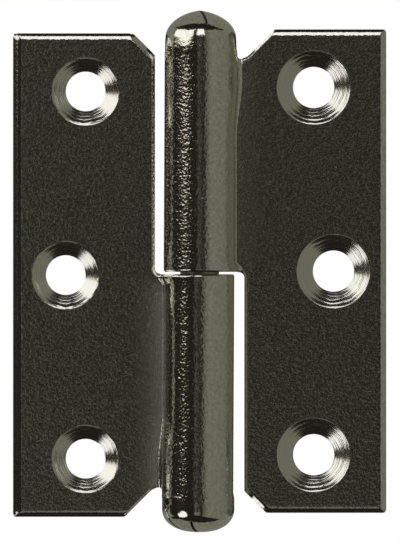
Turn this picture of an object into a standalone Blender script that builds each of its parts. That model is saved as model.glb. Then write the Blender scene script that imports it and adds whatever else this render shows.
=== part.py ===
"""Lift-off furniture hinge: two leaves rolled from steel sheet, turning on one pin.

Units are metres and +Z runs up the pin. The screw heads go in from the front, which faces -Y, and the flat
backs of the leaves face +Y. The hinge lies open flat. The frame leaf reaches to -X and carries the lower half
of the barrel, the door leaf reaches to +X and carries the upper half. Both leaves are the same blank, one of
them turned half round about Y.

A blank is drawn flat, in three directions: along the sheet (x on the finished plate, then on round the bend
and the roll, below zero), up the pin (z), and out through the sheet towards its front face. form_point bends
it into shape.
"""

import math

import bmesh
import bpy
from mathutils import Matrix, Vector

# Sheet and plate
SHEET = 0.0015
LEAF_HEIGHT = 0.050
LEAF_REACH = 0.0193
CORNER_RADIUS = 0.00035
EDGE_ROUNDING = 0.00022

# Pin and barrel
PIN_RADIUS = 0.0020
RUNNING_CLEARANCE = 0.00008
PIN_END_RADIUS = 0.0008
PIN_SEAT_GAP = 0.0003
ROLL_SWELL = 0.00032
BEND_RADIUS = 0.0006
SEAM_GAP = 0.00035
KNUCKLE_OVERRUN = 0.000085
LEAF_OFFSET = 0.00041

# Cut-out that lets the other leaf's barrel past
RELIEF_CLEARANCE = 0.00104
RELIEF_CHAMFER = 0.00225
RELIEF_FILLET = 0.00085

# Notch that frees the closed end of the barrel from the plate
NOTCH_DEPTH = 0.00305
NOTCH_RADIUS = 0.00165

# Closed end of the barrel
DOME_BELOW_TOP = 0.00095
DOME_HEIGHT = {"frame_leaf": 0.0025, "door_leaf": 0.00287}
DOME_FULLNESS = {"frame_leaf": 2.3, "door_leaf": 2.15}
DOME_POINT = {"frame_leaf": 0.0, "door_leaf": 0.175}
NECK_SWELL = {"frame_leaf": 0.00030, "door_leaf": 0.00015}
DOME_TIP = 0.03
DOME_DRAW = 0.00537
NECK_LENGTH = 0.0010
SLIT_WIDTH = 0.0002
SLIT_TAPER = 0.4
SLIT_REACH = 0.0029
SLIT_TURN = math.radians(14)

# Screw holes
HOLE_RADIUS = {"frame_leaf": 0.00205, "door_leaf": 0.00213}
HEAD_RADIUS = {"frame_leaf": 0.00345, "door_leaf": 0.0038}
COUNTERSINK_ANGLE = math.radians(118)
HOLE_RISE = 0.0190
END_HOLES_X = 0.0118
MIDDLE_HOLE_X = 0.01385

# Looks
NICKEL_COLOUR = (0.58, 0.57, 0.52)
NICKEL_ROUGHNESS = 0.28
STEEL_COLOUR = (0.50, 0.49, 0.47)
STEEL_ROUGHNESS = 0.35

# Facets
TURN_STEP = math.radians(6)
PIN_END_STEP = math.radians(15)
BEND_STEP = math.radians(11.25)
CORNER_STEPS = 4
DOME_ROWS = 10
NECK_ROWS = 4
EDGE_STEPS = 3
HOLE_STEPS = 48
SHARP_ANGLE = math.radians(25)
SAME_PLACE = 1e-7

# Barrel section: the sheet comes in flat at the back, bends forward, rises, and rolls round the pin
BORE_RADIUS = PIN_RADIUS + RUNNING_CLEARANCE
KNUCKLE_RADIUS = BORE_RADIUS + SHEET
WIDE_RADIUS = KNUCKLE_RADIUS + ROLL_SWELL
BEND_INSIDE = min(BEND_RADIUS, BORE_RADIUS - ROLL_SWELL)
BEND_CENTRE = Vector((WIDE_RADIUS + BEND_INSIDE, BORE_RADIUS - BEND_INSIDE))
WIDE_CENTRE = Vector((0.0, ROLL_SWELL))
MIDDLE = SHEET / 2
QUARTER = math.pi / 2
BEND_MIDDLE = BEND_INSIDE + MIDDLE
WIDE_MIDDLE = WIDE_RADIUS - MIDDLE
ROLL_MIDDLE = KNUCKLE_RADIUS - MIDDLE


def roll_turn():
    """How far the roll goes on from the front of the barrel before its edge would meet the bend."""
    reach = BEND_CENTRE.length
    keep_off = BEND_INSIDE + SHEET + SEAM_GAP
    cosine = (reach**2 + KNUCKLE_RADIUS**2 - keep_off**2) / (2 * reach * KNUCKLE_RADIUS)
    from_back = math.atan2(BEND_CENTRE.x, BEND_CENTRE.y) - math.acos(min(1.0, cosine))
    return math.pi + from_back


# Places along the sheet where one stretch of the section gives way to the next
BEND_START = BEND_CENTRE.x
RISER_START = BEND_START - BEND_MIDDLE * QUARTER
WIDE_START = RISER_START - (BEND_CENTRE.y - WIDE_CENTRE.y)
ROLL_START = WIDE_START - WIDE_MIDDLE * QUARTER
ROLL_END = ROLL_START - ROLL_MIDDLE * roll_turn()

# Heights on a blank, measured from the middle of its plate
PLATE_TOP = LEAF_HEIGHT / 2
DOME_BASE = PLATE_TOP - DOME_BELOW_TOP
NECK_BASE = DOME_BASE - NECK_LENGTH
DOME_TOP = DOME_BASE + DOME_DRAW
KNUCKLE_END = -KNUCKLE_OVERRUN
RELIEF_EDGE = KNUCKLE_RADIUS + RELIEF_CLEARANCE

# Direction of the seam in the closed ring below the dome, and half the turn that its gap takes
SEAM_ANGLE = math.radians(37)
SEAM_HALF = SEAM_GAP / ROLL_MIDDLE / 2

Z_AXIS = Vector((0.0, 0.0, 1.0))


def clear_scene():
    for obj in list(bpy.data.objects):
        bpy.data.objects.remove(obj)


def new_collection(name, hidden=False):
    collection = bpy.data.collections.new(name)
    bpy.context.scene.collection.children.link(collection)
    collection.hide_render = hidden
    return collection


def metal(name, colour, roughness):
    material = bpy.data.materials.new(name)
    material.use_nodes = True
    shader = material.node_tree.nodes["Principled BSDF"]
    shader.inputs["Base Color"].default_value = (*colour, 1.0)
    shader.inputs["Metallic"].default_value = 1.0
    shader.inputs["Roughness"].default_value = roughness
    return material


def object_from(bm, name, collection):
    mesh = bpy.data.meshes.new(name)
    bm.to_mesh(mesh)
    bm.free()
    obj = bpy.data.objects.new(name, mesh)
    collection.objects.link(obj)
    return obj


def finish(obj, material):
    """Makes the cuts part of the mesh, so that its edges can be shaded, and gives the piece its material."""
    uncut = obj.data
    graph = bpy.context.evaluated_depsgraph_get()
    obj.data = bpy.data.meshes.new_from_object(obj.evaluated_get(graph))
    obj.modifiers.clear()
    bpy.data.meshes.remove(uncut)
    obj.data.name = obj.name
    obj.data.materials.clear()
    obj.data.materials.append(material)
    obj.data.shade_smooth()
    obj.data.set_sharp_from_angle(angle=SHARP_ANGLE)


def section_point(along):
    """The middle of the sheet in plan, and the direction of its front face, at a place along the blank."""
    if along >= BEND_START:
        return Vector((along, KNUCKLE_RADIUS - MIDDLE)), Vector((0.0, -1.0))
    if along >= RISER_START:
        turn = (BEND_START - along) / BEND_MIDDLE
        inward = Vector((math.sin(turn), -math.cos(turn)))
        return BEND_CENTRE - BEND_MIDDLE * inward, inward
    if along >= WIDE_START:
        return Vector((WIDE_MIDDLE, BEND_CENTRE.y - (RISER_START - along))), Vector((1.0, 0.0))
    if along >= ROLL_START:
        turn = (WIDE_START - along) / WIDE_MIDDLE
        outward = Vector((math.cos(turn), -math.sin(turn)))
        return WIDE_CENTRE + WIDE_MIDDLE * outward, outward
    turn = (ROLL_START - along) / ROLL_MIDDLE
    outward = Vector((-math.sin(turn), -math.cos(turn)))
    return ROLL_MIDDLE * outward, outward


def ring_point(name, along):
    """The same place once the barrel is pressed shut: a ring, wider towards the plate, with a narrow seam."""
    share = (RISER_START - along) / (RISER_START - ROLL_END)
    angle = SEAM_ANGLE - SEAM_HALF - share * 2 * (math.pi - SEAM_HALF)
    outward = Vector((math.cos(angle), math.sin(angle)))
    swell = NECK_SWELL[name] / 2
    return Vector((swell + (ROLL_MIDDLE + swell) * outward.x, ROLL_MIDDLE * outward.y)), outward


def eased(share):
    share = min(1.0, max(0.0, share))
    return share * share * (3 - 2 * share)


def dome_height_share(name, radius_share):
    """The dome's profile: an ellipse made fuller or leaner, with a share of a plain cone in its height."""
    fullness = DOME_FULLNESS[name]
    rounded = (1 - radius_share**fullness) ** (1 / fullness)
    return rounded + DOME_POINT[name] * (1 - radius_share - rounded)


def dome_radius_share(name, climb):
    """The share of the dome's radius that is left at a share of the way from its base to its tip."""
    power = 2 / DOME_FULLNESS[name]
    last_turn = math.acos(DOME_TIP ** (1 / power))
    return math.cos(climb * last_turn) ** power


def form_point(name, flat):
    """Where a point of the flat blank lands on the bent, rolled and domed leaf."""
    along, height, out = flat
    place, outward = section_point(along)
    if height <= NECK_BASE or along > BEND_START:
        return Vector((*(place + outward * out), height))
    ring_place, ring_outward = ring_point(name, along)
    pressed = eased((height - NECK_BASE) / (DOME_BASE - NECK_BASE))
    place = place.lerp(ring_place, pressed)
    outward = outward.lerp(ring_outward, pressed).normalized()
    climb = max(0.0, (height - DOME_BASE) / DOME_DRAW)
    radius_share = dome_radius_share(name, climb)
    rise = (DOME_HEIGHT[name] - MIDDLE + out) * dome_height_share(name, radius_share)
    return Vector((*((place + outward * out) * radius_share), min(height, DOME_BASE) + rise))


def rounded_outline(corners):
    """Points of a closed outline, with an arc of the given radius at each corner that has one."""
    points = []
    for index, (x, z, radius) in enumerate(corners):
        corner = Vector((x, z))
        before = Vector(corners[index - 1][:2]) - corner
        after = Vector(corners[(index + 1) % len(corners)][:2]) - corner
        if radius <= 0:
            points.append(corner)
            continue
        before.normalize()
        after.normalize()
        half = before.angle(after) / 2
        centre = corner + (before + after).normalized() * radius / math.sin(half)
        first = corner + before * radius / math.tan(half) - centre
        turn = math.pi - 2 * half
        if first.x * before.y - first.y * before.x > 0:
            turn = -turn
        steps = max(CORNER_STEPS, math.ceil(abs(turn) / BEND_STEP))
        for step in range(steps + 1):
            points.append(centre + Matrix.Rotation(turn * step / steps, 2) @ first)
    return points


def blank_outline():
    plate_foot = -PLATE_TOP
    notch_foot = PLATE_TOP - NOTCH_DEPTH
    notch_edge = RISER_START
    slope_corner = notch_foot - math.sqrt(2) * NOTCH_RADIUS
    slope_top = notch_edge + PLATE_TOP - slope_corner
    return rounded_outline(
        [
            (LEAF_REACH, plate_foot, CORNER_RADIUS),
            (LEAF_REACH, PLATE_TOP, CORNER_RADIUS),
            (slope_top, PLATE_TOP, CORNER_RADIUS),
            (notch_edge, slope_corner, NOTCH_RADIUS),
            (notch_edge, DOME_TOP, 0.0),
            (ROLL_END, DOME_TOP, 0.0),
            (ROLL_END, KNUCKLE_END, CORNER_RADIUS),
            (RELIEF_EDGE, KNUCKLE_END, RELIEF_FILLET),
            (RELIEF_EDGE, plate_foot + RELIEF_CHAMFER, CORNER_RADIUS),
            (RELIEF_EDGE + RELIEF_CHAMFER, plate_foot, CORNER_RADIUS),
        ]
    )


def flat_blank():
    """The blank as a plate with its front edge rounded over, as the press leaves it."""
    bm = bmesh.new()
    outline = [bm.verts.new((x, z, -MIDDLE)) for x, z in blank_outline()]
    back = bm.faces.new(outline)
    raised = bmesh.ops.extrude_face_region(bm, geom=[back], use_keep_orig=True)
    front_verts = [item for item in raised["geom"] if isinstance(item, bmesh.types.BMVert)]
    bmesh.ops.translate(bm, verts=front_verts, vec=Z_AXIS * SHEET)
    bmesh.ops.recalc_face_normals(bm, faces=bm.faces)
    rim = [
        edge
        for edge in bm.edges
        if all(vert.co.z > 0 for vert in edge.verts)
        and any(vert.co.y < DOME_TOP - SAME_PLACE for vert in edge.verts)
    ]
    bmesh.ops.bevel(
        bm, geom=rim, offset=EDGE_ROUNDING, affect="EDGES", segments=EDGE_STEPS, profile=0.5, material=-1
    )
    return bm


def cut_rows(bm, places, direction, within):
    """Adds an edge loop across the blank at each place, on the faces that the test accepts."""
    for place in places:
        faces = [face for face in bm.faces if within(face)]
        geometry = set(faces)
        for face in faces:
            geometry.update(face.edges, face.verts)
        bmesh.ops.bisect_plane(
            bm, geom=list(geometry), dist=SAME_PLACE, plane_co=direction * place, plane_no=direction
        )


def spaced(start, end, step):
    count = max(1, math.ceil(abs(end - start) / step))
    return [start + (end - start) * index / count for index in range(count)]


def formed_leaf(name, collection):
    bm = flat_blank()
    along = spaced(BEND_START, RISER_START, BEND_STEP * BEND_MIDDLE)
    along += [RISER_START]
    along += spaced(WIDE_START, ROLL_START, TURN_STEP * WIDE_MIDDLE)
    along += spaced(ROLL_START, ROLL_END, TURN_STEP * ROLL_MIDDLE)
    cut_rows(bm, along, Vector((1, 0, 0)), lambda face: True)
    neck = spaced(NECK_BASE, DOME_BASE, (DOME_BASE - NECK_BASE) / NECK_ROWS)
    dome = spaced(DOME_BASE, DOME_TOP, DOME_DRAW / DOME_ROWS)
    edge = BEND_START + SAME_PLACE
    cut_rows(bm, neck + dome, Vector((0, 1, 0)), lambda face: all(v.co.x < edge for v in face.verts))
    for vert in bm.verts:
        vert.co = form_point(name, vert.co)
    bmesh.ops.recalc_face_normals(bm, faces=bm.faces)
    return object_from(bm, name, collection)


def turned(profile, steps):
    """A closed solid turned about Z from a profile of (radius, height) points that ends on the axis."""
    bm = bmesh.new()
    verts = [bm.verts.new((radius, 0.0, height)) for radius, height in profile]
    edges = [bm.edges.new(pair) for pair in zip(verts, verts[1:])]
    bmesh.ops.spin(
        bm, geom=verts + edges, cent=(0, 0, 0), axis=Z_AXIS, angle=2 * math.pi, steps=steps, use_merge=True
    )
    bmesh.ops.remove_doubles(bm, verts=bm.verts, dist=SAME_PLACE)
    bmesh.ops.recalc_face_normals(bm, faces=bm.faces)
    return bm


def cut(leaf, cutter):
    """Takes the cutter out of the leaf, which carries it along."""
    cutter.parent = leaf
    cutter.hide_render = True
    cutter.display_type = "WIRE"
    modifier = leaf.modifiers.new(cutter.name, "BOOLEAN")
    modifier.operation = "DIFFERENCE"
    modifier.object = cutter


def screw_holes(leaf, collection):
    """Three countersunk holes, drilled along Y from the front of the plate."""
    name = leaf.name
    hole, head = HOLE_RADIUS[name], HEAD_RADIUS[name]
    slope = math.tan(COUNTERSINK_ANGLE / 2)
    past = SHEET / 2
    profile = [
        (0.0, SHEET + past),
        (head + past * slope, SHEET + past),
        (hole, SHEET - (head - hole) / slope),
        (hole, -past),
        (0.0, -past),
    ]
    for label, x, z in (
        ("top", END_HOLES_X, HOLE_RISE),
        ("middle", MIDDLE_HOLE_X, 0.0),
        ("foot", END_HOLES_X, -HOLE_RISE),
    ):
        cutter = object_from(turned(profile, HOLE_STEPS), f"{name}_{label}_hole", collection)
        cutter.location = (x, KNUCKLE_RADIUS, z)
        cutter.rotation_euler.x = QUARTER
        cut(leaf, cutter)


def dome_slit(leaf, collection):
    """The line where the metal closes on itself, on the front of the dome: it narrows away from the tip."""
    height = DOME_HEIGHT[leaf.name]
    bm = bmesh.new()
    bmesh.ops.create_cube(bm, size=1.0)
    bmesh.ops.scale(bm, vec=(SLIT_WIDTH, SLIT_REACH, 2 * height), verts=bm.verts)
    outer_end = [vert for vert in bm.verts if vert.co.y < 0]
    bmesh.ops.scale(bm, vec=(SLIT_TAPER, 1.0, 1.0), verts=outer_end)
    bmesh.ops.translate(bm, vec=(0.0, -SLIT_REACH / 2, DOME_BASE + height), verts=bm.verts)
    bmesh.ops.rotate(bm, cent=(0, 0, 0), matrix=Matrix.Rotation(SLIT_TURN, 3, "Z"), verts=bm.verts)
    cut(leaf, object_from(bm, f"{leaf.name}_slit", collection))


def make_leaf(name, parts, cutters):
    leaf = formed_leaf(name, parts)
    screw_holes(leaf, cutters)
    dome_slit(leaf, cutters)
    finish(leaf, metal(f"{name}_nickel_plate", NICKEL_COLOUR, NICKEL_ROUGHNESS))
    for cutter in list(leaf.children):
        bpy.data.objects.remove(cutter)
    return leaf


def pin_seat(name):
    """Height on a blank at which the rounded end of the pin seats inside the dome."""
    share = dome_height_share(name, (PIN_RADIUS - PIN_END_RADIUS) / BORE_RADIUS)
    return DOME_BASE + (DOME_HEIGHT[name] - SHEET) * share - PIN_SEAT_GAP


def make_pin(parts, top, foot):
    flat_radius = PIN_RADIUS - PIN_END_RADIUS
    steps = round(QUARTER / PIN_END_STEP)
    profile = [(0.0, top)]
    for end, sign, turns in ((top, -1, range(steps + 1)), (foot, 1, range(steps, -1, -1))):
        for turn in turns:
            angle = QUARTER * turn / steps
            radius = flat_radius + PIN_END_RADIUS * math.sin(angle)
            profile.append((radius, end + sign * PIN_END_RADIUS * (1 - math.cos(angle))))
    profile.append((0.0, foot))
    pin = object_from(turned(profile, round(2 * math.pi / TURN_STEP)), "hinge_pin", parts)
    finish(pin, metal("pin_drawn_steel", STEEL_COLOUR, STEEL_ROUGHNESS))


def main():
    clear_scene()
    parts = new_collection("furniture_hinge")
    cutters = new_collection("cutters", hidden=True)
    door = make_leaf("door_leaf", parts, cutters)
    frame = make_leaf("frame_leaf", parts, cutters)
    frame.rotation_euler.y = math.pi
    middle = (DOME_HEIGHT["door_leaf"] - DOME_HEIGHT["frame_leaf"]) / 2
    door.location.z = LEAF_OFFSET / 2 - middle
    frame.location.z = -LEAF_OFFSET / 2 - middle
    pin_top = door.location.z + pin_seat("door_leaf")
    pin_foot = frame.location.z - pin_seat("frame_leaf")
    make_pin(parts, pin_top, pin_foot)


main()
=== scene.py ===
"""Looks of the lift-off furniture hinge: two nickel-plated steel leaves and a bare steel pin.

Each leaf is made again here from the same flat blank as its solid, with finer steps and with what the press
leaves on it: the wide rolled-over edge of the stamped side, the rims of the countersinks, the closed seam and
the slit in the pressed dome. A blank is drawn flat, in three directions: along the sheet (x on the finished
plate, then on round the bend and the roll), up the pin (z), and out through the sheet towards its front.
"""

import math

import bmesh
import bpy
from mathutils import Matrix, Vector

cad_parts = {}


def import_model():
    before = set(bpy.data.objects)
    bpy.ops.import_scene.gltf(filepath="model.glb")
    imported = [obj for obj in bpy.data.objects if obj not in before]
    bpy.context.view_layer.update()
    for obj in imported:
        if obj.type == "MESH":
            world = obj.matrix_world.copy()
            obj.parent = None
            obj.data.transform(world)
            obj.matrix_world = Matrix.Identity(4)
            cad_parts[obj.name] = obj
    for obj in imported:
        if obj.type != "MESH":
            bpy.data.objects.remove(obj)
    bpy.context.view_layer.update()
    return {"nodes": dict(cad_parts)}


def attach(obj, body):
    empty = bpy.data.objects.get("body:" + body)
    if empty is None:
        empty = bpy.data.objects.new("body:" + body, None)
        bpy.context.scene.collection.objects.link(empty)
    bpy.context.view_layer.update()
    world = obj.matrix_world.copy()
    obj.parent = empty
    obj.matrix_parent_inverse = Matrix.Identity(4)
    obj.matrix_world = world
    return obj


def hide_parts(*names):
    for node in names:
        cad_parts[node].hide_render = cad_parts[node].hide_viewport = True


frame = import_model()

MM = 0.001

# Sheet, plate and barrel, as the solids have them, apart from the relief's tighter fillet, the narrower closed
# seam, the longer neck with its swell, and the slit in the dome
SHEET = 1.5 * MM
LEAF_HEIGHT = 50 * MM
LEAF_REACH = 19.3 * MM
CORNER_RADIUS = 0.35 * MM
PIN_RADIUS = 2.0 * MM
RUNNING_CLEARANCE = 0.08 * MM
ROLL_SWELL = 0.32 * MM
BEND_INSIDE = 0.6 * MM
SEAM_GAP = 0.35 * MM
CLOSED_SEAM = 0.04 * MM
KNUCKLE_OVERRUN = 0.085 * MM
LEAF_OFFSET = 0.41 * MM
RELIEF_CLEARANCE = 1.04 * MM
RELIEF_CHAMFER = 2.25 * MM
RELIEF_FILLET = 0.6 * MM  # lets the leaves clear each other at the back limit
NOTCH_DEPTH = 3.05 * MM
NOTCH_RADIUS = 1.65 * MM
DOME_BELOW_TOP = 0.95 * MM
DOME_HEIGHT = {"frame_leaf": 2.5 * MM, "door_leaf": 2.87 * MM}
DOME_FULLNESS = {"frame_leaf": 2.3, "door_leaf": 2.15}
DOME_POINT = {"frame_leaf": 0.0, "door_leaf": 0.175}
NECK_SWELL = {"frame_leaf": 0.30 * MM, "door_leaf": 0.23 * MM}
DOME_TIP = 0.03
DOME_DRAW = 5.37 * MM
NECK_LENGTH = 1.7 * MM
CLOSING_SHARE = 0.45
SLIT_WIDTH = 0.4 * MM
SLIT_TAPER = 0.6
SLIT_REACH = {"frame_leaf": 3.2 * MM, "door_leaf": 3.0 * MM}
SLIT_TURN = {"frame_leaf": math.radians(16), "door_leaf": math.radians(14)}
HOLE_RADIUS = {"frame_leaf": 2.05 * MM, "door_leaf": 2.13 * MM}
HEAD_RADIUS = {"frame_leaf": 3.45 * MM, "door_leaf": 3.8 * MM}
COUNTERSINK_ANGLE = math.radians(118)
RIM_ROUNDING = 0.19 * MM
RIM_STEP_DOWN = 0.0005 * MM
RIM_STEPS = 7
HOLE_RISE = 19.0 * MM
END_HOLES_X = 11.8 * MM
MIDDLE_HOLE_X = 13.85 * MM

# What the press leaves on the front edges: how wide the sheet's face rolls over, and how deep
PLATE_ROLL_WIDTH = 0.76 * MM
SIDE_ROLL_WIDTH = {"frame_leaf": 1.0 * MM, "door_leaf": 0.75 * MM}
NOTCH_ROLL_WIDTH = 0.34 * MM
RELIEF_ROLL_WIDTH = 0.5 * MM
END_ROLL_WIDTH = 0.3 * MM
ROLL_SLOPE = 0.62
ROLL_STEEP_SHARE = 0.15
ROLL_BLEND = 0.16
ROLL_RINGS = 10
RINGS_PAST_ROLL = 7
RINGS_REACH = 1.7

# How the rolled barrel strays from a circle: its crown stands over towards the plate, its plate side is drawn
# in between the ends, its free side narrows towards the dome, and the wall leans in below the dome
CROWN_LEAN = 0.15 * MM
SIDE_DRAWN_IN = 0.30 * MM
DRAWN_IN_HEIGHTS = (0.25 * MM, 1.0 * MM, 14 * MM, 19.5 * MM)
FREE_SIDE = {"frame_leaf": (0.0, -0.12 * MM), "door_leaf": (0.14 * MM, 0.02 * MM)}
BEND_TIGHTER = 1.2
PLATE_STRETCH = 3 * MM
STRETCH_ROWS = 9
LEAN_DEPTH = {"frame_leaf": 0.0, "door_leaf": 0.042 * MM}
LEAN_REACH = 1.2 * MM
LEAN_END = 0.35 * MM

# Where the bend pulled the plating dull
SATIN = {"frame_leaf": 1.0, "door_leaf": 0.4}
SATIN_REACH = 2.6 * MM
SATIN_IN_BEND = 0.5
SATIN_HEIGHTS = (-0.3 * MM, 1.5 * MM)

# How deep the strip's pebble is on the roll, and where the press ironed it
ROLLED_GRAIN = 1.3
IRONED_GRAIN = 0.3
ROLLED_GRAIN_FADE = 1.0 * MM
IRONED_DROP = 0.03 * MM
IRONED_NECK = 0.9 * MM

# Facets
TURN_STEP = math.radians(2.5)
BEND_STEP = math.radians(5)
CORNER_STEP = math.radians(6)
DOME_ROWS = 26
NECK_ROWS = 14
HOLE_STEPS = 128
BARREL_ROW = 0.9 * MM
SHARP_ANGLE = math.radians(24)
SAME_PLACE = 1e-7
NEARLY_FLAT = 0.9999

BORE_RADIUS = PIN_RADIUS + RUNNING_CLEARANCE
KNUCKLE_RADIUS = BORE_RADIUS + SHEET
WIDE_RADIUS = KNUCKLE_RADIUS + ROLL_SWELL
BEND_CENTRE = Vector((WIDE_RADIUS + BEND_INSIDE, BORE_RADIUS - BEND_INSIDE))
WIDE_CENTRE = Vector((0.0, ROLL_SWELL))
MIDDLE = SHEET / 2
QUARTER = math.pi / 2
BEND_MIDDLE = BEND_INSIDE + MIDDLE
WIDE_MIDDLE = WIDE_RADIUS - MIDDLE
ROLL_MIDDLE = KNUCKLE_RADIUS - MIDDLE


def roll_turn():
    """How far the roll goes on from the front of the barrel before its edge would meet the bend."""
    reach = BEND_CENTRE.length
    keep_off = BEND_INSIDE + SHEET + SEAM_GAP
    cosine = (reach**2 + KNUCKLE_RADIUS**2 - keep_off**2) / (2 * reach * KNUCKLE_RADIUS)
    return math.pi + math.atan2(BEND_CENTRE.x, BEND_CENTRE.y) - math.acos(cosine)


BEND_START = BEND_CENTRE.x
RISER_START = BEND_START - BEND_MIDDLE * QUARTER
WIDE_START = RISER_START - (BEND_CENTRE.y - WIDE_CENTRE.y)
ROLL_START = WIDE_START - WIDE_MIDDLE * QUARTER
ROLL_END = ROLL_START - ROLL_MIDDLE * roll_turn()
PLATE_TOP = LEAF_HEIGHT / 2
DOME_BASE = PLATE_TOP - DOME_BELOW_TOP
NECK_BASE = DOME_BASE - NECK_LENGTH
DOME_TOP = DOME_BASE + DOME_DRAW
KNUCKLE_END = -KNUCKLE_OVERRUN
RELIEF_EDGE = KNUCKLE_RADIUS + RELIEF_CLEARANCE
SEAM_ANGLE = {"frame_leaf": math.radians(-28), "door_leaf": math.radians(37)}
SEAM_START = math.radians(22)
SEAM_HALF = CLOSED_SEAM / ROLL_MIDDLE / 2
Z_AXIS = Vector((0.0, 0.0, 1.0))


# ---- shapes ----


def section_point(along):
    """The middle of the sheet in plan, and the direction of its front face, at a place along the blank."""
    if along >= BEND_START:
        return Vector((along, KNUCKLE_RADIUS - MIDDLE)), Vector((0.0, -1.0))
    if along >= RISER_START:
        turn = (BEND_START - along) / BEND_MIDDLE
        inward = Vector((math.sin(turn), -math.cos(turn)))
        return BEND_CENTRE - BEND_MIDDLE * inward, inward
    if along >= WIDE_START:
        return Vector((WIDE_MIDDLE, BEND_CENTRE.y - (RISER_START - along))), Vector((1.0, 0.0))
    if along >= ROLL_START:
        turn = (WIDE_START - along) / WIDE_MIDDLE
        outward = Vector((math.cos(turn), -math.sin(turn)))
        return WIDE_CENTRE + WIDE_MIDDLE * outward, outward
    turn = (ROLL_START - along) / ROLL_MIDDLE
    outward = Vector((-math.sin(turn), -math.cos(turn)))
    return ROLL_MIDDLE * outward, outward


def ring_point(name, along, climb):
    """The same place once the barrel is pressed shut: a ring, wider towards the plate, with a narrow seam that
    starts at the side of the barrel and runs round it as it climbs."""
    share = (RISER_START - along) / (RISER_START - ROLL_END)
    seam = SEAM_START + (SEAM_ANGLE[name] - SEAM_START) * climb
    angle = seam - SEAM_HALF - share * 2 * (math.pi - SEAM_HALF)
    outward = Vector((math.cos(angle), math.sin(angle)))
    swell = NECK_SWELL[name] / 2
    return Vector((swell + (ROLL_MIDDLE + swell) * outward.x, ROLL_MIDDLE * outward.y)), outward


def eased(share):
    share = min(1.0, max(0.0, share))
    return share * share * (3 - 2 * share)


def dome_height_share(name, radius_share):
    """The dome's profile: an ellipse made fuller or leaner, with a share of a plain cone in its height."""
    fullness = DOME_FULLNESS[name]
    rounded = (1 - radius_share**fullness) ** (1 / fullness)
    return rounded + DOME_POINT[name] * (1 - radius_share - rounded)


def dome_radius_share(name, climb):
    """The share of the dome's radius that is left at a share of the way from its base to its tip."""
    power = 2 / DOME_FULLNESS[name]
    last_turn = math.acos(DOME_TIP ** (1 / power))
    return math.cos(climb * last_turn) ** power


def carried_round(start, end, share, past_crown):
    """A place and its direction, part of the way round the barrel from one place to another."""
    angles = [math.atan2(place.y, place.x) for place, _ in (start, end)]
    if past_crown:
        angles = [angle - 2 * math.pi if angle > 0 else angle for angle in angles]
    angle = angles[0] + share * (angles[1] - angles[0])
    radius = start[0].length + share * (end[0].length - start[0].length)
    outward = Vector((0.0, 0.0))
    for (_, direction), own_angle, weight in zip((start, end), angles, (1 - share, share)):
        outward += weight * (Matrix.Rotation(angle - own_angle, 2) @ direction)
    return radius * Vector((math.cos(angle), math.sin(angle))), outward.normalized()


def strayed(name, along, height, out, place):
    """How far across the barrel's real section lies from the plain circle, at a place of the blank."""
    foot, full, fading, gone = DRAWN_IN_HEIGHTS
    drawn_in = SIDE_DRAWN_IN * eased((height - foot) / (full - foot)) * eased((gone - height) / (gone - fading))
    if along >= BEND_START:
        return -drawn_in * (1 + BEND_TIGHTER) * eased(1 - (along - BEND_START) / PLATE_STRETCH)
    if along >= RISER_START:
        return -drawn_in * (1 + BEND_TIGHTER * (1 - math.sin((BEND_START - along) / BEND_MIDDLE)))
    if place.x >= 0:
        share = (place.x / WIDE_MIDDLE) ** 2
        return CROWN_LEAN * (1 - share) - drawn_in * share
    share = (place.x / ROLL_MIDDLE) ** 2
    open_end, closed_end = FREE_SIDE[name]
    widened = open_end + (closed_end - open_end) * min(1.0, max(0.0, height / DOME_BASE))
    return CROWN_LEAN * (1 - share) - widened * share * (out + MIDDLE) / SHEET


def leaned_in(name, height):
    """How far the wall leans in towards the dome, from a little below its base."""
    below = min(1.0, max(0.0, (height - DOME_BASE + LEAN_REACH) / LEAN_REACH))
    above = min(1.0, max(0.0, (height - DOME_BASE) / LEAN_END))
    return LEAN_DEPTH[name] * (below**2 + (2 * above - above**2) * LEAN_END / LEAN_REACH)


def form_point(name, flat):
    """Where a point of the flat blank lands on the bent, rolled and domed leaf."""
    along, height, out = flat
    place, outward = section_point(along)
    place = place + Vector((strayed(name, along, height, out, place), 0.0))
    if height <= NECK_BASE or along > BEND_START:
        return Vector((*(place + outward * out), height))
    climb = (height - NECK_BASE) / (DOME_BASE - NECK_BASE)
    ring = ring_point(name, along, eased(climb))
    place, outward = carried_round((place, outward), ring, eased(climb / CLOSING_SHARE), along < ROLL_START)
    place -= outward * leaned_in(name, height)
    climb = max(0.0, (height - DOME_BASE) / DOME_DRAW)
    radius_share = dome_radius_share(name, climb)
    rise = (DOME_HEIGHT[name] - MIDDLE + out) * dome_height_share(name, radius_share)
    return Vector((*((place + outward * out) * radius_share), min(height, DOME_BASE) + rise))


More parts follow.
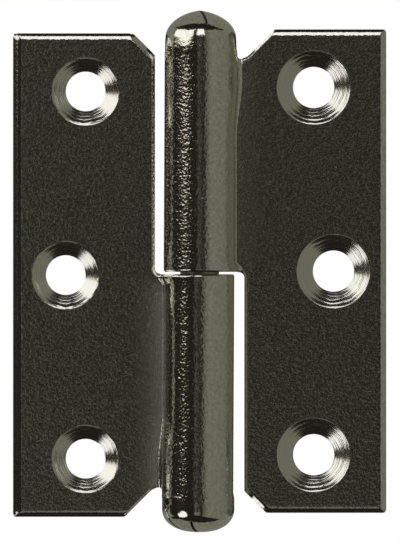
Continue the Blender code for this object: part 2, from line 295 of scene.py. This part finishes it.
def blank_corners(name):
    """The blank's corners in order, each with its radius and the width of the rolled edge that follows it."""
    notch_foot = PLATE_TOP - NOTCH_DEPTH
    slope_corner = notch_foot - math.sqrt(2) * NOTCH_RADIUS
    slope_top = RISER_START + PLATE_TOP - slope_corner
    return [
        (LEAF_REACH, -PLATE_TOP, CORNER_RADIUS, SIDE_ROLL_WIDTH[name]),
        (LEAF_REACH, PLATE_TOP, CORNER_RADIUS, PLATE_ROLL_WIDTH),
        (slope_top, PLATE_TOP, CORNER_RADIUS, NOTCH_ROLL_WIDTH),
        (RISER_START, slope_corner, NOTCH_RADIUS, END_ROLL_WIDTH),
        (RISER_START, DOME_TOP, 0.0, 0.0),
        (ROLL_END, DOME_TOP, 0.0, 0.0),
        (ROLL_END, KNUCKLE_END, CORNER_RADIUS, END_ROLL_WIDTH),
        (RELIEF_EDGE, KNUCKLE_END, RELIEF_FILLET, RELIEF_ROLL_WIDTH),
        (RELIEF_EDGE, -PLATE_TOP + RELIEF_CHAMFER, CORNER_RADIUS, PLATE_ROLL_WIDTH),
        (RELIEF_EDGE + RELIEF_CHAMFER, -PLATE_TOP, CORNER_RADIUS, PLATE_ROLL_WIDTH),
    ]


def corner_arc(corners, index):
    """The centre of a corner's arc, the arc's first place from it, and how far it turns."""
    x, z, radius, _ = corners[index]
    corner = Vector((x, z))
    before = (Vector(corners[index - 1][:2]) - corner).normalized()
    after = (Vector(corners[(index + 1) % len(corners)][:2]) - corner).normalized()
    half = before.angle(after) / 2
    centre = corner + (before + after).normalized() * radius / math.sin(half)
    first = corner + before * radius / math.tan(half) - centre
    turn = math.pi - 2 * half
    if first.x * before.y - first.y * before.x > 0:
        turn = -turn
    return centre, first, turn


def rounded_outline(corners):
    """Points of a closed outline, with an arc of the given radius at each corner that has one."""
    points = []
    for index, (x, z, radius, _) in enumerate(corners):
        if radius <= 0:
            points.append(Vector((x, z)))
            continue
        centre, first, turn = corner_arc(corners, index)
        steps = max(4, math.ceil(abs(turn) / CORNER_STEP))
        for step in range(steps + 1):
            points.append(centre + Matrix.Rotation(turn * step / steps, 2) @ first)
    return points


def object_from(bm, name):
    mesh = bpy.data.meshes.new(name)
    bm.to_mesh(mesh)
    bm.free()
    obj = bpy.data.objects.new(name, mesh)
    bpy.context.scene.collection.objects.link(obj)
    return obj


def cut_out(obj, cutters):
    """Takes the cutters out of the piece for good, and removes them."""
    for cutter in cutters:
        modifier = obj.modifiers.new(cutter.name, "BOOLEAN")
        modifier.operation = "DIFFERENCE"
        modifier.object = cutter
    graph = bpy.context.evaluated_depsgraph_get()
    uncut = obj.data
    obj.data = bpy.data.meshes.new_from_object(obj.evaluated_get(graph))
    obj.modifiers.clear()
    bpy.data.meshes.remove(uncut)
    for cutter in cutters:
        bpy.data.objects.remove(cutter)


def turned(profile, steps):
    """A closed solid turned about Z from a profile of (radius, height) points that ends on the axis."""
    bm = bmesh.new()
    verts = [bm.verts.new((radius, 0.0, height)) for radius, height in profile]
    edges = [bm.edges.new(pair) for pair in zip(verts, verts[1:])]
    bmesh.ops.spin(
        bm, geom=verts + edges, cent=(0, 0, 0), axis=Z_AXIS, angle=2 * math.pi, steps=steps, use_merge=True
    )
    bmesh.ops.remove_doubles(bm, verts=bm.verts, dist=SAME_PLACE)
    bmesh.ops.recalc_face_normals(bm, faces=bm.faces)
    return bm


def flat_plate(name):
    """The blank with its countersunk holes, in its flat directions: x along, y up, z out of the front."""
    bm = bmesh.new()
    outline = [bm.verts.new((x, z, -MIDDLE)) for x, z in rounded_outline(blank_corners(name))]
    back = bm.faces.new(outline)
    raised = bmesh.ops.extrude_face_region(bm, geom=[back], use_keep_orig=True)
    front_verts = [item for item in raised["geom"] if isinstance(item, bmesh.types.BMVert)]
    bmesh.ops.translate(bm, verts=front_verts, vec=Z_AXIS * SHEET)
    bmesh.ops.recalc_face_normals(bm, faces=bm.faces)
    plate = object_from(bm, f"{name}_plate")
    hole, head = HOLE_RADIUS[name], HEAD_RADIUS[name]
    slope = math.tan(COUNTERSINK_ANGLE / 2)
    past = SHEET / 2
    profile = [(0.0, MIDDLE + past), (head + RIM_ROUNDING / 2, MIDDLE + past)]
    for step in range(RIM_STEPS + 1):
        in_from_rim = RIM_ROUNDING * step / RIM_STEPS
        drop = in_from_rim**2 / (2 * RIM_ROUNDING * slope) + RIM_STEP_DOWN
        profile.append((head + RIM_ROUNDING / 2 - in_from_rim, MIDDLE - drop))
    profile += [
        (hole, MIDDLE - (head - hole) / slope - RIM_STEP_DOWN),
        (hole, -MIDDLE - past),
        (0.0, -MIDDLE - past),
    ]
    cutters = []
    for x, z in ((END_HOLES_X, HOLE_RISE), (MIDDLE_HOLE_X, 0.0), (END_HOLES_X, -HOLE_RISE)):
        cutter = object_from(turned(profile, HOLE_STEPS), "hole")
        cutter.location = (x, z, 0)
        cutters.append(cutter)
    cut_out(plate, cutters)
    bm = bmesh.new()
    bm.from_mesh(plate.data)
    bpy.data.objects.remove(plate)
    return bm


def cut_rows(bm, places, direction, within=None):
    """Adds an edge loop across the blank at each place, on the faces that the test accepts."""
    for place in places:
        faces = [face for face in bm.faces if within is None or within(face)]
        geometry = set(faces)
        for face in faces:
            geometry.update(face.edges, face.verts)
        bmesh.ops.bisect_plane(
            bm, geom=list(geometry), dist=SAME_PLACE, plane_co=direction * place, plane_no=direction
        )


def spaced(start, end, step):
    count = max(1, math.ceil(abs(end - start) / step))
    return [start + (end - start) * index / count for index in range(count)]


def inward_reach(corners, index):
    """How much of the straight edges beside an inward corner its arc takes: nothing at an outward corner."""
    x, z, radius, _ = corners[index]
    before = Vector((x, z)) - Vector(corners[index - 1][:2])
    after = Vector(corners[(index + 1) % len(corners)][:2]) - Vector((x, z))
    if before.x * after.y >= before.y * after.x:
        return 0.0
    return radius / math.tan((-before).angle(after) / 2)


def rolled_lines(name):
    """The blank's straight edges that the press rolled over: both ends, the way inwards and the width."""
    corners = blank_corners(name)
    lines = []
    for index, (x, z, _, width) in enumerate(corners):
        if width <= 0:
            continue
        following = (index + 1) % len(corners)
        start, end = Vector((x, z)), Vector(corners[following][:2])
        way = (end - start).normalized()
        start += way * inward_reach(corners, index)
        end -= way * inward_reach(corners, following)
        lines.append((start, end, Vector((-way.y, way.x)), width))
    return lines


def inner_arcs(name):
    """The arcs in the blank's inward corners, each with the rolled widths of its two ends."""
    corners = blank_corners(name)
    arcs = []
    for index, (_, _, _, width) in enumerate(corners):
        if inward_reach(corners, index) > 0:
            arcs.append((*corner_arc(corners, index), corners[index - 1][3], width))
    return arcs


def rolled_drop(lines, arcs, x, z):
    """How far the press pulled the front face down at a place, from the nearest edges, softly joined."""
    place = Vector((x, z))
    total, deepest, nearest = 0.0, 0.0, math.inf
    for start, end, inward, width in lines:
        run = end - start
        share = min(1.0, max(0.0, (place - start).dot(run) / run.length_squared))
        away = (place - start - run * share).length / width
        total += math.exp(-away / ROLL_BLEND)
        if away < nearest:
            nearest, deepest = away, width * ROLL_SLOPE
    near = -ROLL_BLEND * math.log(total) if total > 0 else 1.0
    for centre, first, turn, first_width, last_width in arcs:
        share = -first.angle_signed(place - centre, 0.0) / turn
        if 0 <= share <= 1:
            width = first_width + (last_width - first_width) * share
            away = ((place - centre).length - first.length) / width
            if away < nearest:
                near, deepest = min(near, away), width * ROLL_SLOPE
    steep = ROLL_STEEP_SHARE
    share = min(1.0, max(0.0, (near - steep) / (1 - steep)))
    fading = (1 - steep) * (0.5 - share + share**3 - share**4 / 2)
    return deepest * (fading + max(0.0, steep - max(0.0, near)))


def satin_at(name, along, height):
    """How dull the plating is: most where the plate meets the bend, and bright again beside the relief."""
    beside = SATIN[name] * eased((height - SATIN_HEIGHTS[0]) / (SATIN_HEIGHTS[1] - SATIN_HEIGHTS[0]))
    if along >= BEND_START:
        return beside * max(0.0, 1 - (along - BEND_START) / SATIN_REACH)
    return beside * max(0.0, 1 - (BEND_START - along) / (BEND_START - RISER_START) / SATIN_IN_BEND)


def grain_at(along, height, drop):
    """How deep the strip's pebble is: deeper where the roll stretched it, ironed out on the dome and on the
    rolled-over edges."""
    rolled = eased((RISER_START - along) / ROLLED_GRAIN_FADE)
    domed = eased((height - DOME_BASE + IRONED_NECK) / IRONED_NECK) * (1 if along < BEND_START else 0)
    ironed = min(1.0, drop / IRONED_DROP)
    grain = 1.0 + (ROLLED_GRAIN - 1.0) * rolled
    grain += (IRONED_GRAIN - grain) * domed
    return grain + (IRONED_GRAIN - grain) * ironed


def formed_leaf(name):
    bm = flat_plate(name)
    lines, arcs = rolled_lines(name), inner_arcs(name)
    rings = [(step + 0.5) / ROLL_RINGS for step in range(ROLL_RINGS + RINGS_PAST_ROLL)]
    front = lambda face: all(vert.co.z > 0 for vert in face.verts)
    for start, end, inward, width in lines:
        direction = Vector((inward.x, inward.y, 0.0))
        base = start.dot(inward)
        reach = base + width * RINGS_REACH
        near = lambda face: front(face) and min(v.co.dot(direction) for v in face.verts) < reach
        cut_rows(bm, [base + width * ring for ring in rings], direction, near)
    along = spaced(BEND_START, RISER_START, BEND_STEP * BEND_MIDDLE)
    along += [RISER_START]
    along += spaced(WIDE_START, ROLL_START, TURN_STEP * WIDE_MIDDLE)
    along += spaced(ROLL_START, ROLL_END, TURN_STEP * ROLL_MIDDLE)
    cut_rows(bm, along, Vector((1, 0, 0)))
    neck = spaced(NECK_BASE, DOME_BASE, (DOME_BASE - NECK_BASE) / NECK_ROWS)
    dome = spaced(DOME_BASE, DOME_TOP, DOME_DRAW / DOME_ROWS)
    edge = BEND_START + SAME_PLACE
    cut_rows(bm, neck + dome, Vector((0, 1, 0)), lambda face: all(v.co.x < edge for v in face.verts))
    stretched = BEND_START + PLATE_STRETCH
    cut_rows(bm, spaced(BEND_START, stretched, PLATE_STRETCH / STRETCH_ROWS) + [stretched], Vector((1, 0, 0)))
    rows = spaced(DRAWN_IN_HEIGHTS[0], DRAWN_IN_HEIGHTS[1], BARREL_ROW / 3)
    rows += spaced(DRAWN_IN_HEIGHTS[1], DRAWN_IN_HEIGHTS[3], BARREL_ROW) + [DRAWN_IN_HEIGHTS[3]]
    edge = stretched + SAME_PLACE
    cut_rows(bm, rows, Vector((0, 1, 0)), lambda face: all(v.co.x < edge for v in face.verts))
    grain = bm.verts.layers.float.new("grain")
    satin = bm.verts.layers.float.new("satin")
    for vert in bm.verts:
        along, height, out = vert.co
        drop = rolled_drop(lines, arcs, along, height)
        vert[grain] = grain_at(along, height, drop)
        vert[satin] = satin_at(name, along, height)
        if out > MIDDLE - SAME_PLACE:
            vert.co.z -= drop
        vert.co = form_point(name, vert.co)
    bmesh.ops.recalc_face_normals(bm, faces=bm.faces)
    return object_from(bm, f"{name}_stamping")


def dome_slit(name):
    """The line where the metal closes on itself, on the front of the dome: it narrows away from the tip."""
    height, reach = DOME_HEIGHT[name], SLIT_REACH[name]
    bm = bmesh.new()
    bmesh.ops.create_cube(bm, size=1.0)
    bmesh.ops.scale(bm, vec=(SLIT_WIDTH, reach, 2 * height), verts=bm.verts)
    outer_end = [vert for vert in bm.verts if vert.co.y < 0]
    bmesh.ops.scale(bm, vec=(SLIT_TAPER, 1.0, 1.0), verts=outer_end)
    bmesh.ops.translate(bm, vec=(0.0, -reach / 2, DOME_BASE + height), verts=bm.verts)
    bmesh.ops.rotate(bm, cent=(0, 0, 0), matrix=Matrix.Rotation(SLIT_TURN[name], 3, "Z"), verts=bm.verts)
    return object_from(bm, "slit")


def mark_surfaces(leaf, name):
    """Gives the turned walls their own material, and every point its distance from the nearest hole's axis."""
    mesh = leaf.data
    head = HEAD_RADIUS[name] + RIM_ROUNDING / 2 + SAME_PLACE
    holes = [(END_HOLES_X, HOLE_RISE), (MIDDLE_HOLE_X, 0.0), (END_HOLES_X, -HOLE_RISE)]
    distances = mesh.attributes.new("from_axis", "FLOAT", "POINT")
    for vert, item in zip(mesh.vertices, distances.data):
        item.value = min(math.hypot(vert.co.x - x, vert.co.z - z) for x, z in holes)
    for face in mesh.polygons:
        inside = all(distances.data[index].value < head for index in face.vertices)
        face.material_index = 1 if inside and abs(face.normal.y) < NEARLY_FLAT else 0


def make_leaf(name, turn, material, turned_material):
    leaf = formed_leaf(name)
    cut_out(leaf, [dome_slit(name)])
    leaf.data.materials.clear()
    leaf.data.materials.append(material)
    leaf.data.materials.append(turned_material)
    mark_surfaces(leaf, name)
    middle = (DOME_HEIGHT["door_leaf"] - DOME_HEIGHT["frame_leaf"]) / 2
    lift = LEAF_OFFSET / 2 * (1 if turn == 0 else -1) - middle
    leaf.data.transform(Matrix.Translation((0, 0, lift)) @ Matrix.Rotation(turn, 4, "Y"))
    leaf.data.shade_smooth()
    leaf.data.set_sharp_from_angle(angle=SHARP_ANGLE)
    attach(leaf, name)
    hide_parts(name)
    return leaf


# ---- materials ----

# The patterns' sizes, from one hump to the next, and their depths
PEBBLE = MM / 3.5
PEBBLE_DEPTH = 0.026 * MM
MOTTLE = MM / 2.8
CHATTER = MM / 1.1
CHATTER_SHIFT = 0.3 * MM
TURNED_RINGS = MM / 4
RING_DEPTH = 0.034 * MM
DRAWN_LINES = MM / 7
DRAWN_LINE_STRETCH = 0.03
DRAWN_LINE_DEPTH = 0.004 * MM


def linear(hex_colour):
    """An sRGB hex colour as linear red, green, blue and alpha."""
    values = [int(hex_colour[i : i + 2], 16) / 255 for i in (1, 3, 5)]
    return (*[v / 12.92 if v <= 0.04045 else ((v + 0.055) / 1.055) ** 2.4 for v in values], 1.0)


def add_node(tree, kind, settings=None, inputs=None, links=None):
    """A node with its settings, its socket values and the sockets that feed it."""
    node = tree.nodes.new(kind)
    for key, value in (settings or {}).items():
        setattr(node, key, value)
    for key, value in (inputs or {}).items():
        node.inputs[key].default_value = value
    for key, (source, output) in (links or {}).items():
        tree.links.new(source.outputs[output], node.inputs[key])
    return node


def new_material(name):
    material = bpy.data.materials.new(name)
    material.use_nodes = True
    tree = material.node_tree
    tree.nodes.clear()
    return material, tree


def nickel_plate():
    """Bright nickel plated on cold-rolled strip. The strip's pebble shows through the plating as a dull mottle
    on the flat faces, and, deeper where the roll stretched it, as sparkle on the barrels. Both are drawn about
    0.3 mm across so that they show. Beside the bend the plating is satin, and mirrors the studio softly."""
    material, tree = new_material("nickel_plate_on_rolled_strip")
    place = add_node(tree, "ShaderNodeTexCoord")
    pebble = add_node(
        tree, "ShaderNodeTexNoise",
        inputs={"Scale": 1 / PEBBLE, "Detail": 1.0, "Roughness": 0.5},
        links={"Vector": (place, "Object")},
    )
    mottle = add_node(
        tree, "ShaderNodeTexNoise", inputs={"Scale": 1 / MOTTLE, "Detail": 2.0, "Roughness": 0.6},
        links={"Vector": (place, "Object")},
    )
    share = add_node(
        tree, "ShaderNodeMapRange", inputs={"From Min": 0.3, "From Max": 0.7}, links={"Value": (mottle, "Fac")}
    )
    colour = add_node(
        tree, "ShaderNodeMix", {"data_type": "RGBA"}, {6: linear("#c2bfb3"), 7: linear("#dfdcd0")},
        {0: (share, "Result")},
    )
    grain = add_node(tree, "ShaderNodeAttribute", {"attribute_name": "grain"})
    height = add_node(
        tree, "ShaderNodeMath", {"operation": "MULTIPLY"}, links={0: (pebble, "Fac"), 1: (grain, "Fac")}
    )
    bump = add_node(
        tree, "ShaderNodeBump",
        inputs={"Strength": 1.0, "Distance": PEBBLE_DEPTH}, links={"Height": (height, "Value")},
    )
    satin = add_node(tree, "ShaderNodeAttribute", {"attribute_name": "satin"})
    roughness = add_node(
        tree, "ShaderNodeMapRange", inputs={"To Min": 0.1, "To Max": 0.32}, links={"Value": (satin, "Fac")}
    )
    shader = add_node(
        tree,
        "ShaderNodeBsdfPrincipled",
        inputs={"Metallic": 1.0},
        links={"Base Color": (colour, 2), "Roughness": (roughness, "Result"), "Normal": (bump, "Normal")},
    )
    add_node(tree, "ShaderNodeOutputMaterial", links={"Surface": (shader, "BSDF")})
    return material


def nickel_on_turned_steel():
    """The same plating over the countersinks, where the cutter left fine uneven turning rings, drawn about
    0.25 mm apart so that they show. They make the mirrored lamps streaky."""
    material, tree = new_material("nickel_plate_on_turned_steel")
    place = add_node(tree, "ShaderNodeTexCoord")
    distance = add_node(tree, "ShaderNodeAttribute", {"attribute_name": "from_axis"})
    chatter = add_node(
        tree, "ShaderNodeTexNoise",
        inputs={"Scale": 1 / CHATTER, "Detail": 2.0}, links={"Vector": (place, "Object")},
    )
    drift = add_node(
        tree, "ShaderNodeMath", {"operation": "MULTIPLY_ADD"}, {1: CHATTER_SHIFT},
        {0: (chatter, "Fac"), 2: (distance, "Fac")},
    )
    rings = add_node(
        tree, "ShaderNodeTexNoise", {"noise_dimensions": "1D"}, {"Scale": 1 / TURNED_RINGS, "Detail": 1.0},
        {"W": (drift, "Value")},
    )
    bump = add_node(
        tree, "ShaderNodeBump",
        inputs={"Strength": 1.0, "Distance": RING_DEPTH}, links={"Height": (rings, "Fac")},
    )
    shader = add_node(
        tree,
        "ShaderNodeBsdfPrincipled",
        inputs={"Base Color": linear("#d2cec2"), "Metallic": 1.0, "Roughness": 0.18},
        links={"Normal": (bump, "Normal")},
    )
    add_node(tree, "ShaderNodeOutputMaterial", links={"Surface": (shader, "BSDF")})
    return material


def drawn_pin_steel():
    """Bare cold-drawn steel: darker and duller than the plating, with fine lines along the pin, drawn about
    0.15 mm apart so that they show."""
    material, tree = new_material("cold_drawn_pin_steel")
    place = add_node(tree, "ShaderNodeTexCoord")
    along = add_node(
        tree, "ShaderNodeMapping", inputs={"Scale": (1.0, 1.0, DRAWN_LINE_STRETCH)},
        links={"Vector": (place, "Object")},
    )
    lines = add_node(
        tree, "ShaderNodeTexNoise", inputs={"Scale": 1 / DRAWN_LINES, "Detail": 2.0},
        links={"Vector": (along, "Vector")},
    )
    roughness = add_node(
        tree, "ShaderNodeMapRange", inputs={"From Min": 0.3, "From Max": 0.7, "To Min": 0.24, "To Max": 0.38},
        links={"Value": (lines, "Fac")},
    )
    bump = add_node(
        tree, "ShaderNodeBump", inputs={"Strength": 1.0, "Distance": DRAWN_LINE_DEPTH},
        links={"Height": (lines, "Fac")},
    )
    shader = add_node(
        tree,
        "ShaderNodeBsdfPrincipled",
        inputs={"Base Color": linear("#a8a49c"), "Metallic": 1.0},
        links={"Roughness": (roughness, "Result"), "Normal": (bump, "Normal")},
    )
    add_node(tree, "ShaderNodeOutputMaterial", links={"Surface": (shader, "BSDF")})
    return material


# ---- studio ----

LAMP_RIM = 2.5
PANEL_COLUMNS = 48
PANEL_ROWS = 24


def level_at(line, azimuth):
    """The height in degrees of a panel's edge at an azimuth: one value, or straight runs between points."""
    if not isinstance(line, list):
        return line
    for (az_a, el_a), (az_b, el_b) in zip(line, line[1:]):
        if azimuth <= az_b:
            return el_a + (el_b - el_a) * (azimuth - az_a) / (az_b - az_a)
    return line[-1][1]


def panel(name, azimuths, low, high, colour, strength, strength_right=None, strength_top=None, distance=1.0):
    """A curved studio panel round the object. Azimuth 0 is the camera's side, positive to the right. Its glow
    may change evenly to the right or to the top."""
    bm = bmesh.new()
    bmesh.ops.create_grid(bm, x_segments=PANEL_COLUMNS, y_segments=PANEL_ROWS, size=0.5)
    across = bm.verts.layers.float.new("across")
    for vert in bm.verts:
        share, rise = vert.co.x + 0.5, vert.co.y + 0.5
        vert[across] = share if strength_top is None else rise
        azimuth = azimuths[0] + share * (azimuths[1] - azimuths[0])
        bottom, top = level_at(low, azimuth), level_at(high, azimuth)
        azimuth, elevation = math.radians(azimuth), math.radians(bottom + rise * (top - bottom))
        level = math.cos(elevation)
        vert.co = Vector(
            (math.sin(azimuth) * level, -math.cos(azimuth) * level, math.sin(elevation))
        ) * distance
    obj = object_from(bm, name)
    material, tree = new_material(name)
    place = add_node(tree, "ShaderNodeAttribute", {"attribute_name": "across"})
    other = strength_top if strength_top is not None else strength_right
    glow = add_node(
        tree, "ShaderNodeMapRange", inputs={"To Min": strength, "To Max": strength if other is None else other},
        links={"Value": (place, "Fac")},
    )
    glow = add_node(
        tree, "ShaderNodeEmission", inputs={"Color": linear(colour)}, links={"Strength": (glow, "Result")}
    )
    add_node(tree, "ShaderNodeOutputMaterial", links={"Surface": (glow, "Emission")})
    obj.data.materials.append(material)
    obj.visible_camera = False
    obj.visible_diffuse = False
    obj.visible_shadow = False
    return obj


def studio():
    """Black cloth all round, and in front of it the lamps and the grey-green cards that the plating mirrors."""
    card, lamp, stand = "#fbffec", "#fafcff", "#f0f4e0"
    panel("black_cloth", (-180, 180), -90, 90, "#26241f", 1.0, distance=1.3)
    upper_low = [(-98, 10), (-86, 8.5), (-70, 6.5), (-58, 4.6), (-47, 3.4), (-38, 7), (-24, 13)]
    upper_high = [(-98, 36), (-68, 43), (-50, 43), (-35, 47), (-24, 52)]
    upper_rim = [(azimuth, level + LAMP_RIM) for azimuth, level in upper_low]
    panel("lamp_upper_left", (-98, -24), upper_low, upper_high, lamp, 1.5)
    panel("lamp_upper_left_rim", (-98, -24), upper_low, upper_rim, "#f4e8d2", 0.8, distance=0.99)
    panel("lamp_over_lens", (-13, 14), [(-13, 16), (14, 18)], 53, lamp, 1.5)
    lower_low = [(-72, -41), (-46, -43), (-38, -37)]
    lower_high = [(-72, -24), (-62, -18), (-52, -10), (-38, -16)]
    panel("lamp_lower_left", (-72, -38), lower_low, lower_high, lamp, 1.5)
    panel("camera_stand", (-12.6, 13), -16, 10, stand, 0.034, strength_top=0.02)
    panel("camera_stand_left", (-10.4, -5), -16, 12, stand, 0.16, strength_top=0.1, distance=0.98)
    panel("camera_stand_right", (-0.8, 3.6), -14, -3, stand, 0.13, distance=0.98)
    panel("camera_stand_top", (-1.4, 4.6), 2.5, 12, stand, 0.085, distance=0.98)
    panel("camera_stand_foot", (-12.6, 6), -36, -16, "#f0f4e8", 0.22)
    card_low = [(13, -44), (45, -45), (82, -46), (104, -40)]
    card_high = [(13, 47), (38, 46), (57, 46), (80, 40), (104, 30)]
    panel("card_right_near", (13, 30), card_low, card_high, card, 0.1, strength_right=0.22)
    panel("card_right", (30, 104), card_low, card_high, card, 0.235, strength_right=0.2)
    ceiling_low = [
        (-120, 33), (-107, 46), (-96, 57), (-87, 68), (-70, 78), (-6, 84), (52, 82), (69, 74), (79, 60), (84, 45),
        (95, 40),
    ]
    panel("card_ceiling", (-120, 95), ceiling_low, 90, card, 0.24)
    below_high = [
        (-120, -30), (-95, -47), (-81, -50), (-73, -62), (-55, -76), (0, -83), (60, -80), (83, -65), (95, -50),
    ]
    panel("card_below", (-120, 95), -90, below_high, card, 0.24)
    panel("card_behind_high", (95, 240), [(95, 18), (140, 18), (150, 7), (240, 7)], 90, card, 0.24)
    behind_high = [(95, -18), (140, -18), (150, -7), (200, -7), (215, -4), (240, -4)]
    panel("card_behind_low", (95, 240), -90, behind_high, card, 0.24)
    panel("card_behind_left_high", (240, 258), 18, [(240, 33), (258, 38)], card, 0.24)
    panel("card_behind_left_low", (240, 265), -32, -18, card, 0.24)
    panel("card_behind_right", (104, 140), -18, 18, card, 0.1)
    panel("card_behind_left", (237, 261), -18, 18, card, 0.3)


def world():
    scene = bpy.context.scene
    scene.world = bpy.data.worlds.new("white_studio")
    scene.world.use_nodes = True
    tree = scene.world.node_tree
    tree.nodes.clear()
    background = add_node(tree, "ShaderNodeBackground", inputs={"Color": linear("#ffffff"), "Strength": 1.0})
    add_node(tree, "ShaderNodeOutputWorld", links={"Surface": (background, "Background")})
    scene.view_settings.view_transform = "Standard"


FLOOR_HEIGHT = -33 * MM
FLOOR_RADIUS = 0.25
FLOOR_STEPS = 96


def floor():
    bm = bmesh.new()
    bmesh.ops.create_circle(bm, cap_ends=True, segments=FLOOR_STEPS, radius=FLOOR_RADIUS)
    bmesh.ops.translate(bm, vec=(0, 0, FLOOR_HEIGHT), verts=bm.verts)
    obj = object_from(bm, "floor")
    material, tree = new_material("white_paper_floor")
    shader = add_node(tree, "ShaderNodeBsdfDiffuse", inputs={"Color": linear("#f4f3f0")})
    add_node(tree, "ShaderNodeOutputMaterial", links={"Surface": (shader, "BSDF")})
    obj.data.materials.append(material)
    obj.visible_glossy = False


CAMERA_DISTANCE = 1.7
CAMERA_ASIDE = 0.036 * MM
CAMERA_DOWN = 0.02 * MM
VIEW_HEIGHT = 56.08 * MM
SENSOR = 36.0


def camera():
    data = bpy.data.cameras.new("camera")
    data.sensor_width = SENSOR
    data.lens = SENSOR * CAMERA_DISTANCE / VIEW_HEIGHT
    data.clip_start = 0.01
    data.clip_end = 10
    obj = bpy.data.objects.new("camera", data)
    obj.location = (CAMERA_ASIDE, -CAMERA_DISTANCE, -CAMERA_DOWN)
    obj.rotation_euler = (QUARTER, 0, 0)
    bpy.context.scene.collection.objects.link(obj)
    bpy.context.scene.camera = obj


plate_finish = nickel_plate()
turned_finish = nickel_on_turned_steel()
make_leaf("door_leaf", 0.0, plate_finish, turned_finish)
make_leaf("frame_leaf", math.pi, plate_finish, turned_finish)
pin = frame["nodes"]["hinge_pin"]
pin.data.materials.clear()
pin.data.materials.append(drawn_pin_steel())

camera()
world()
floor()
studio()
